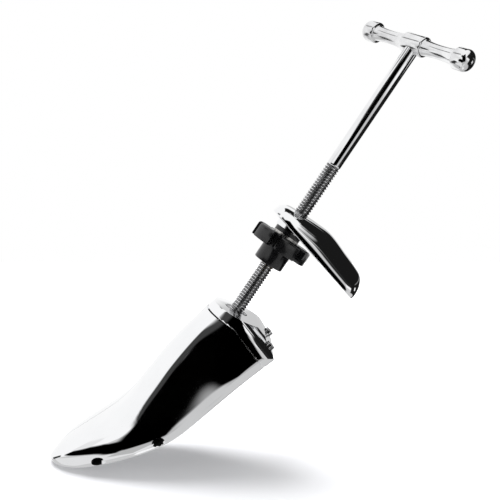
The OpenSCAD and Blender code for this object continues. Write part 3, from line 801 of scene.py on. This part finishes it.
@dataclass
class ThreadedSpindle:
    """The spindle: threaded for most of its length, smooth towards the handle."""

    root_r: float = 4.2
    crest_r: float = 5.0
    pitch: float = 2.0
    tail: float = 0.4
    start_s: float = -71.0
    thread_end: float = 114.0
    shank_r: float = 4.8
    top_s: float = 213.0
    journal: Pair = (-17.6, -1.6)
    groove: Pair = (-3.95, -2.85)

    def thread(self, low: float, high: float) -> bpy.types.Object:
        """A helical ridge between two places on the spindle, running out at both ends."""
        turns = round((high - low) / self.pitch)
        base = self.root_r - 0.25
        outline = [(base, -0.82), (self.crest_r - 0.14, -0.32), (self.crest_r, -0.18),
                   (self.crest_r, 0.18), (self.crest_r - 0.14, 0.32), (base, 0.82)]
        bpy.ops.object.select_all(action="DESELECT")
        bpy.ops.mesh.primitive_circle_add(vertices=len(outline), radius=1)
        ridge = bpy.context.object
        ridge.data.vertices.foreach_set("co", [c for r, z in outline for c in (r * MM, 0, (low + z) * MM)])
        step = ridge.modifiers.new("helix", "SCREW")
        step.screw_offset = self.pitch * MM
        step.iterations = turns
        step.steps = step.render_steps = 28
        pick(ridge)
        bpy.ops.object.modifier_apply(modifier=step.name)
        for vertex in ridge.data.vertices:
            z = vertex.co.z / MM
            ends = (z - low + self.tail, low + turns * self.pitch + self.tail - z)
            rise = min(1, *(max(end / self.pitch, 0.02) for end in ends))
            radius = math.hypot(vertex.co.x, vertex.co.y)
            wanted = base * MM + (radius - base * MM) * rise
            vertex.co.x *= wanted / radius
            vertex.co.y *= wanted / radius
        with editing(ridge):
            bpy.ops.mesh.fill_holes(sides=0)
            face_out()
        return ridge

    def build(self) -> None:
        """Makes the spindle and hangs it on its body."""
        a, b = self.journal
        g, h = self.groove
        core = turned("spindle_shaft", [
            (self.root_r - 0.9, self.start_s), (self.root_r - 0.1, self.start_s + 0.8),
            (self.root_r, self.start_s + 1.2), (self.root_r, a), (self.crest_r, a + 0.4),
            (self.crest_r, g - 0.1), (self.crest_r - 0.1, g), (3.92, g), (3.92, h), (self.crest_r - 0.1, h),
            (self.crest_r, h + 0.1), (self.crest_r, b - 0.4), (self.root_r, b),
            (self.root_r, self.thread_end), (self.shank_r - 0.1, self.thread_end + 0.9),
            (self.shank_r, self.thread_end + 1.2), (self.shank_r, self.top_s - 0.4),
            (self.shank_r - 0.4, self.top_s)], 64)
        ridges = [self.thread(self.start_s + 1.4, a - 0.6), self.thread(b + 0.4, self.thread_end + 0.6)]
        pick(core)
        for ridge in ridges:
            ridge.select_set(True)
        bpy.ops.object.join()
        dress(core, (ROD_CHROME, THREAD_GROOVE_SHADE))
        # Faces below this radius, down in the thread's grooves, take the painted groove shade.
        groove_shade_r = self.root_r + (self.crest_r - self.root_r) * 0.62
        for face in core.data.polygons:
            reach = math.hypot(face.center.x, face.center.y) / MM
            face.material_index = int(reach < groove_shade_r and face.center.z < self.thread_end * MM)
        settle(core, AXIS.matrix())
        polish(core, 30)
        deliver(core, "spindle", (ROD_CHROME, THREAD_GROOVE_SHADE), "chrome_rod", "spindle")


@dataclass
class TeeBar:
    """The turned T bar: central collar, waisted grips and domed end caps."""

    length: float = 93.0
    at_s: float = 208.5
    turn: float = 42.6
    cap_r: float = 6.88
    cap_l: float = 11.5
    neck_r: float = 4.3
    collar_r: float = 6.5
    collar_l: float = 17.0
    spindle_r: float = 4.8
    pin_r: float = 1.5

    def half_profile(self) -> list[Pair]:
        """Radius and distance from the middle, from the collar's edge to the end of the dome."""
        half, start = self.length / 2, self.length / 2 - self.cap_l
        edge = self.collar_l / 2
        collar = [(self.collar_r - less, edge + more) for less, more in (
            (0, -0.9), (0.06, -0.55), (0.25, -0.2), (0.6, 0), (1.15, 0.08), (1.3, 0.3))]
        neck = []
        for i in range(33):
            u = i / 32
            swell = abs(2 * u - 1) ** 2.2
            neck.append((self.neck_r + (self.collar_r - 1.3 - self.neck_r) * swell,
                         edge + 0.6 + (start - 1.4 - edge) * u))
        step = [(self.cap_r - less, start + more) for less, more in (
            (1.45, -0.62), (0.95, -0.5), (0.4, -0.28), (0.12, 0.1), (0, 0.6))]
        dome = [(self.cap_r * math.cos(math.radians(a)), half - 5 + 5 * math.sin(math.radians(a)))
                for a in (0, 8, 16, 24, 32, 40, 48, 56, 64, 71, 77, 82, 86, 89)]
        return collar + neck + step + dome

    def build(self) -> None:
        """Makes the bar and hangs it on the spindle."""
        half = self.half_profile()
        bar = turned("tee_bar", [(r, -z) for r, z in reversed(half)] + half, 72)
        place = AXIS.matrix(self.at_s) @ rotated(self.turn, "Z")
        settle(bar, place @ rotated(90, "X"))
        blind = self.at_s + self.collar_r - 1.98
        shape(bar, AXIS.rod("spindle hole", self.spindle_r + 0.02, self.at_s - 20, blind))
        pin_hole = turned("pin hole", [(self.pin_r, -self.spindle_r - 0.5), (self.pin_r, 20)], 32)
        shape(bar, settle(pin_hole, place @ rotated(90, "Y")))
        outwards(bar)
        polish(bar, 35)
        deliver(bar, "spindle", (GRIP_CHROME,), "chrome_rod", "handle_bar")


@dataclass
class LengthKnob:
    """The black knob with its lobes, on a plain hub."""

    at_s: float = 36.0
    radius: float = 20.5
    lobe_h: float = 10.0
    hub_r: float = 10.5
    hub_h: float = 11.4
    lobes: int = 6
    recess_w: float = 6.0
    phase: float = 0.2
    bore_r: float = 5.6
    insert_r: float = 7.5

    def build(self) -> None:
        """Makes the knob and hangs it on its body."""
        low, top = self.hub_h, self.hub_h + self.lobe_h
        wheel = turned("length_knob", [
            (self.radius - 0.5, low), (self.radius - 0.12, low + 0.15), (self.radius, low + 0.5),
            (self.radius, top - 1.5), (self.radius - 0.25, top - 0.85), (self.radius - 0.8, top - 0.3),
            (self.radius - 1.5, top)], 144)
        middle = self.hub_r + self.recess_w / 2 + 0.5
        half = self.recess_w / 2
        arc = [math.radians(90 + 180 * i / 20) for i in range(21)]
        outline = [(middle + half * math.cos(a), half * math.sin(a)) for a in arc]
        outline += [(self.radius + 4, -half - 0.5), (self.radius + 4, half + 0.5)]
        for i in range(self.lobes):
            angle = 2 * math.pi / self.lobes * (i + self.phase)
            slot = settle(prism("recess", outline, low - 5, top + 5), Matrix.Rotation(angle, 4, "Z"))
            shape(wheel, slot)
        ease_edges(wheel, 0.7, 50)
        hub = turned("hub", [(self.hub_r - 0.7, 0), (self.hub_r - 0.2, 0.2), (self.hub_r, 0.7),
                             (self.hub_r, low + 1)], 96)
        shape(wheel, hub, Cut.JOIN)
        seat = turned("insert seat", [
            (self.bore_r, -1), (self.bore_r, 0.5), (self.insert_r, 0.5), (self.insert_r, top + 1)], 96)
        shape(wheel, seat)
        settle(wheel, AXIS.matrix(self.at_s))
        outwards(wheel)
        polish(wheel, 35)
        deliver(wheel, "knob", (BLACK,), "black_plastic", "knob")


@dataclass
class HeelBlock:
    """The heel block: flat front, round back, rounded and narrower at the top and the bottom."""

    height: float = 76.5
    width: float = 43.0
    depth: float = 18.4
    lean: float = 3.4
    rim: float = 2.0
    low: float = 10.0
    high: float = 17.0
    bush_r: float = 7.5
    flange_r: float = 9.5
    bush_l: float = 9.0
    boss_l: float = 11.0
    exit_r: float = 5.38
    seat_s: float = 62.1
    knob_top_s: float = 57.4
    knob_r: float = 20.5

    def front(self, z: float) -> float:
        """Position of the leaning front face at a height."""
        a = math.radians(AXIS.rise)
        corner = AXIS.point(self.knob_top_s) + self.knob_r * Vector((math.sin(a), 0, -math.cos(a)))
        return corner.x + 0.5 + (corner.z - z) * math.tan(math.radians(self.lean))

    def half_width(self, z: float) -> float:
        """Half the width at a height."""
        low, high = min(z / self.low, 1), min((self.height - z) / self.high, 1)
        return (self.width / 2 * (0.66 + 0.34 * math.sqrt(max(1 - (1 - low) ** 2, 0)))
                * (0.36 + 0.64 * math.sqrt(max(1 - (1 - high) ** 2, 0))))

    def deep(self, z: float) -> float:
        """Depth from the front face at a height."""
        return self.depth * smooth_line(z / self.height, [
            (0, 0.32), (0.03, 0.6), (0.08, 0.8), (0.15, 0.875), (0.3, 0.93), (0.53, 1), (0.69, 0.87),
            (0.81, 0.73), (0.91, 0.6), (0.97, 0.48), (1, 0.3)])

    def ring(self, z: float) -> list[Point]:
        """The outline at a height, with eased front corners."""
        width, front, deep = self.half_width(z), self.front(z), self.deep(z)
        rim = min(self.rim, 0.2 * deep)
        ease = min(0.7, rim * 0.6)
        corner = [math.radians(90 * i / 4) for i in range(5)]
        right = [(front + ease * (1 - math.cos(a)), width - ease * (1 - math.sin(a))) for a in corner]
        back = [(front + rim + (deep - rim) * math.cos(math.radians(b)), width * math.sin(math.radians(b)))
                for b in (90 - 180 * i / 60 for i in range(61))]
        face = [(front, (width - ease) * (i / 6)) for i in range(-5, 6)]
        line = [*right, *back, *[(x, -y) for x, y in reversed(right)], *face]
        return [(x, y, z) for x, y in line]

    def build(self) -> None:
        """Makes the block and hangs it on its body."""
        levels = [self.low * (1 - math.cos(math.radians(90 * i / 14))) for i in range(14)]
        levels += [self.low + (self.height - self.low - self.high) * i / 30 for i in range(30)]
        levels += [self.height - self.high * (1 - math.sin(math.radians(90 * i / 22))) for i in range(23)]
        block = skin("heel_cup", [self.ring(z) for z in levels])
        ease_edges(block, 0.6, 50)
        boss = AXIS.rod("boss", self.flange_r + 1, self.seat_s, self.seat_s + self.boss_l)
        shape(block, boss, Cut.JOIN)
        shape(block, AXIS.rod("spot face", self.flange_r + 1.5, self.seat_s - 40, self.seat_s, 96))
        shape(block, AXIS.rod("bush hole", self.bush_r, self.seat_s - 1, self.seat_s + self.bush_l, 96))
        shape(block, AXIS.rod("spindle hole", self.exit_r, self.seat_s, self.seat_s + 80, 96))
        outwards(block)
        polish(block)
        deliver(block, "heel", (CHROME,), "chrome", "heel_block")


@dataclass
class ReturnSpring:
    """The coil spring between the two halves; each end reaches out to the screw that holds it."""

    wire_r: float = 0.46
    coil_r: float = 3.0
    coil_y: float = 8.5
    turns: float = 8.5
    leg_y: float = 9.9
    neck_y: float = 10.4
    eye_r: float = 2.6
    eye_y: float = 14.0

    def path(self) -> list[Vector]:
        """Middle line of the wire in millimetres, from the middle of the coil to the end of one eye."""
        def link(start: Vector, pull: Vector, end: Vector, push: Vector) -> list[Vector]:
            """A smooth stretch between two points that leaves along pull and arrives along push."""
            steps = [i / 8 for i in range(1, 8)]
            return [start * (2 * t ** 3 - 3 * t * t + 1) + pull * (t ** 3 - 2 * t * t + t)
                    + end * (3 * t * t - 2 * t ** 3) + push * (t ** 3 - t * t) for t in steps]

        shares = [i / 170 for i in range(171)]
        coil = [Vector((self.coil_r * math.cos(math.tau * self.turns * share), self.coil_y * share,
                        self.coil_r * math.sin(math.tau * self.turns * share))) for share in shares]
        leg = [Vector((0, self.leg_y, 0)), Vector((0, self.neck_y, 0))]
        eye = [Vector((self.eye_r * math.sin(a), self.eye_y - self.eye_r * math.cos(a), 0))
               for a in (math.radians(30 + 10 * i) for i in range(31))]
        return (coil + link(coil[-1], Vector((0, 0.5, -3)), leg[0], Vector((0, 4, 0))) + leg
                + link(leg[1], Vector((0, 1.5, 0)), eye[0], Vector((1.4, 0.8, 0))) + eye)

    def build(self) -> None:
        """Makes both ends of the spring, and bends each from the back to its own half."""
        low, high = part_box("return_spring")
        middle = (Vector(low) + Vector(high)) / 2
        for side, body in ((-1, "left_half"), (1, "right_half")):
            data = bpy.data.curves.new(f"spring_{body}", "CURVE")
            data.dimensions = "3D"
            data.bevel_depth = self.wire_r * MM
            data.bevel_resolution = 3
            data.use_fill_caps = True
            path = self.path()
            line = data.splines.new("POLY")
            line.points.add(len(path) - 1)
            for point, place in zip(line.points, path):
                point.co = (*(middle + Vector((place.x, side * place.y, side * place.z)) * MM), 1)
            wire = bpy.data.objects.new(f"return_spring_{body}", data)
            bpy.context.collection.objects.link(wire)
            pick(wire)
            bpy.ops.object.convert(target="MESH")
            wire = bpy.context.view_layer.objects.active
            outwards(wire)
            polish(wire)
            dress(wire, (SPRING_STEEL,))
            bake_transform(wire)
            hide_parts("return_spring")
            LOG.info("%s: %d faces, back to %s", wire.name, len(wire.data.polygons), body)


@dataclass
class CarriedNodes:
    """The frame's own pieces whose shape is right, with a finish for each."""

    finishes: dict[str, Finish] = field(default_factory=lambda: {
        "hinge_bracket": STEEL, "hinge_pins": ROD_CHROME, "back_screws": ROD_CHROME, "thrust_collar": STEEL,
        "collar_pin": SPRING_STEEL, "cap_washer": BRASS, "retaining_ring": SPRING_STEEL, "wedge_nut": BRASS,
        "spring_screw_left": STEEL, "spring_screw_right": STEEL,
        "handle_pin": STEEL, "knob_insert": BRASS, "knob_washer": STEEL, "heel_bush": BLACK})

    def build(self) -> None:
        """Gives each carried node its finish."""
        for node, finish in self.finishes.items():
            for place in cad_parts[node].material_slots:
                place.material = finish.material()
            LOG.info("%s: carried over with %s", node, finish.name)


# Studio


@dataclass(frozen=True)
class Card:
    """A card or soft box that the chrome mirrors, by its direction in degrees from the camera's own axes."""

    azimuth: float
    elevation: float
    half_w: float
    half_h: float
    tilt: float
    soft: float
    value: float


@dataclass
class Studio:
    """The camera at the photograph's angle, the floor under the toe, the lamps and the cards.

    The camera was worked out from points read off the photograph. Ten of the cards come from a
    program's random search against the brightness of the photograph's reflections, rounded to whole
    degrees.
    """

    eye: Point = (154.876, -435.5, 99.531)
    azimuth: float = 3.884
    elevation: float = 4.548
    roll: float = -38.046
    lens: float = 46.8
    film_w: float = 36.0
    floor_colour: Point = (0.84, 0.845, 0.87)
    floor_middle: Point = (-0.06, 0, 0.03)
    floor_gap: float = 0.2
    lamp_target: Point = (0.02, 0, 0.03)
    glow: tuple[float, float, float, float] = (0.1, 0.4, 0.12, 1.1)
    plain_light: float = 0.5
    lamp_rows: tuple[tuple[str, Point, float, float], ...] = (
        ("over", (-0.3, 1.0, -0.35), 0.7, 12.0),
        ("fill", (-0.9, 0.5, 0.8), 1.0, 2.0),
    )
    cards: tuple[Card, ...] = (
        Card(0, -45, 180, 45, 9, 5, 0.62),
        Card(-48, -58, 74, 23, -16, 5, 0.8),
        Card(-3, -45, 32, 15, 45, 5, 0.5),
        Card(-51, -15, 38, 13, -33, 5, 0.0),
        Card(-37, 24, 18, 8, -45, 5, 0.05),
        Card(-8, -3, 21, 35, 11, 5, 0.0),
        Card(100, 35, 69, 21, 32, 5, 0.01),
        Card(104, 20, 49, 15, 0, 5, 0.01),
        Card(79, -9, 56, 8, -15, 5, 0.02),
        Card(105, -20, 50, 24, 0, 5, 0.01),
        Card(96, -14, 7, 6, 0, 4, 1.0),
        Card(38, -13, 17, 7, -25, 4, 1.0),
        Card(-71, 15, 15, 8, -12, 5, 0.85),
        Card(-112, -13, 15, 5, 20, 4, 0.03),
        Card(-84, 48, 14, 4, 0, 4, 0.2),
    )

    def axes(self) -> Matrix:
        """The camera's own axes as a matrix."""
        return rotated(self.azimuth, "Z") @ rotated(90 - self.elevation, "X") @ rotated(self.roll, "Z")

    def side(self, number: int) -> Vector:
        """One of the camera's own axes: 0 points right, 1 up and 2 back."""
        return self.axes().col[number].to_3d()

    def camera(self) -> None:
        """Puts the camera at the photograph's place."""
        bpy.ops.object.select_all(action="DESELECT")
        bpy.ops.object.camera_add()
        camera = bpy.context.object
        camera.data.lens = self.lens
        camera.data.sensor_width = self.film_w
        camera.data.clip_start = 0.01
        camera.data.clip_end = 50
        camera.matrix_world = moved(*self.eye) @ self.axes()
        bpy.context.scene.camera = camera

    def floor(self) -> None:
        """The pale floor, level in the photograph, under the lowest point of the toe."""
        right, up, back = (self.side(number) for number in range(3))
        halves = (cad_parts[node].data.vertices for node in ("toe_half_left", "toe_half_right"))
        height = min(v.co.dot(up) for half in halves for v in half) - self.floor_gap * MM
        middle = Vector(self.floor_middle)
        spot = middle + up * (height - middle.dot(up))
        bpy.ops.object.select_all(action="DESELECT")
        bpy.ops.mesh.primitive_grid_add(x_subdivisions=8, y_subdivisions=8, size=14)
        floor = bpy.context.object
        floor.name = "studio_floor"
        floor.matrix_world = Matrix.Translation(spot) @ Matrix((right, -back, up)).transposed().to_4x4()
        material = bpy.data.materials.new("pale floor")
        material.use_nodes = True
        tree = material.node_tree
        shader = tree.nodes["Principled BSDF"]
        path = add_node(tree, "ShaderNodeLightPath")
        place = add_node(tree, "ShaderNodeTexCoord")
        reach = add_node(tree, "ShaderNodeVectorMath", {0: place.outputs["Object"]}, operation="LENGTH")
        near, far, least, most = self.glow
        glow = add_node(tree, "ShaderNodeMapRange", {
            "Value": reach.outputs["Value"], "From Min": near, "From Max": far,
            "To Min": least, "To Max": most}, interpolation_type="SMOOTHSTEP")
        lift = add_math(tree, "MULTIPLY", path.outputs["Is Camera Ray"], glow.outputs["Result"])
        feed(tree, shader, {
            "Base Color": (*self.floor_colour, 1), "Roughness": 0.9, "Specular IOR Level": 0,
            "Emission Color": WHITE, "Emission Strength": lift})
        clear = add_node(tree, "ShaderNodeBsdfTransparent")
        face = add_node(tree, "ShaderNodeNewGeometry")
        mix = add_node(tree, "ShaderNodeMixShader", {
            "Fac": face.outputs["Backfacing"], 1: shader.outputs["BSDF"], 2: clear.outputs["BSDF"]})
        feed(tree, tree.nodes["Material Output"], {"Surface": mix.outputs["Shader"]})
        floor.data.materials.append(material)
        floor.visible_glossy = False

    def lamps(self) -> None:
        """Soft lamps above and beside the object, at a plain level."""
        axes = self.axes()
        for name, place, size, power in self.lamp_rows:
            light = bpy.data.lights.new(name, "AREA")
            light.size = size
            light.energy = power
            lamp = bpy.data.objects.new(name, light)
            target = Vector(self.lamp_target)
            spot = target + axes.to_3x3() @ Vector(place)
            lamp.matrix_world = (Matrix.Translation(spot)
                                 @ (target - spot).to_track_quat("-Z", "Y").to_matrix().to_4x4())
            lamp.visible_glossy = False
            lamp.visible_camera = False
            bpy.context.scene.collection.objects.link(lamp)

    def card_group(self) -> bpy.types.NodeTree:
        """How much a direction falls on one card, as a mask."""
        labels = ["Azimuth", "Elevation", "Card Azimuth", "Card Elevation", "Half Width", "Half Height",
                  "Cos", "Sin", "Soft"]
        group, start, end = effect_group("studio card", [(n, "NodeSocketFloat", 0.0) for n in labels],
                                         [("Mask", "NodeSocketFloat")])
        add = partial(add_math, group)
        given = start.outputs
        across = add("WRAP", add("SUBTRACT", given["Azimuth"], given["Card Azimuth"]), 180, -180)
        along = add("SUBTRACT", given["Elevation"], given["Card Elevation"])
        u = add("ADD", add("MULTIPLY", across, given["Cos"]), add("MULTIPLY", along, given["Sin"]))
        v = add("SUBTRACT", add("MULTIPLY", along, given["Cos"]), add("MULTIPLY", across, given["Sin"]))
        masks = []
        for offset, half in ((u, "Half Width"), (v, "Half Height")):
            edge = add_node(group, "ShaderNodeMapRange", {
                "Value": add("SUBTRACT", given[half], add("ABSOLUTE", offset)),
                "From Min": add("MULTIPLY", given["Soft"], -0.5),
                "From Max": add("MULTIPLY", given["Soft"], 0.5)}, interpolation_type="SMOOTHSTEP")
            masks.append(edge.outputs["Result"])
        feed(group, end, {"Mask": add("MULTIPLY", *masks)})
        return group

    def world(self) -> None:
        """White for the camera, plain grey light for everything, and the cards for what mirrors."""
        world = bpy.data.worlds.new("studio")
        bpy.context.scene.world = world
        world.use_nodes = True
        tree = world.node_tree
        tree.nodes.clear()
        add = partial(add_math, tree)
        place = add_node(tree, "ShaderNodeTexCoord")

        def along(number: int) -> bpy.types.NodeSocket:
            """How far the direction points along one of the camera's axes."""
            return add_node(tree, "ShaderNodeVectorMath", {
                0: place.outputs["Generated"], 1: self.side(number)}, operation="DOT_PRODUCT").outputs["Value"]

        azimuth = add("DEGREES", add("ARCTAN2", along(0), along(2)))
        elevation = add("DEGREES", add("ARCSINE", along(1)))
        group = self.card_group()
        value: object = 1.0
        for card in self.cards:
            angle = math.radians(card.tilt)
            mask = add_node(tree, "ShaderNodeGroup", {
                "Azimuth": azimuth, "Elevation": elevation, "Card Azimuth": card.azimuth,
                "Card Elevation": card.elevation, "Half Width": card.half_w, "Half Height": card.half_h,
                "Cos": math.cos(angle), "Sin": math.sin(angle), "Soft": card.soft},
                node_tree=group).outputs["Mask"]
            kept = add("MULTIPLY", add("SUBTRACT", 1.0, mask), value)
            value = add("MULTIPLY_ADD", mask, card.value, kept)
        path = add_node(tree, "ShaderNodeLightPath").outputs
        mirror = add("MULTIPLY", path["Is Glossy Ray"], value)
        plain = add("MULTIPLY", add("SUBTRACT", 1.0, path["Is Glossy Ray"]), self.plain_light)
        seen = add("MAXIMUM", path["Is Camera Ray"], add("ADD", mirror, plain))
        background = add_node(tree, "ShaderNodeBackground", {"Color": WHITE, "Strength": seen})
        add_node(tree, "ShaderNodeOutputWorld", {"Surface": background.outputs["Background"]})

    def build(self) -> None:
        """Sets up the whole studio."""
        self.camera()
        self.floor()
        self.lamps()
        self.world()
        bpy.context.scene.view_settings.view_transform = "Standard"


def main() -> None:
    """Builds the studio and every piece."""
    logging.basicConfig(level=logging.INFO, format="%(message)s")
    for part in (Studio(), ToeHalf(), RearCap(), ThreadedSpindle(), TeeBar(), LengthKnob(), HeelBlock(),
                 ReturnSpring(), CarriedNodes()):
        part.build()


if __name__ == "__main__":
    main()
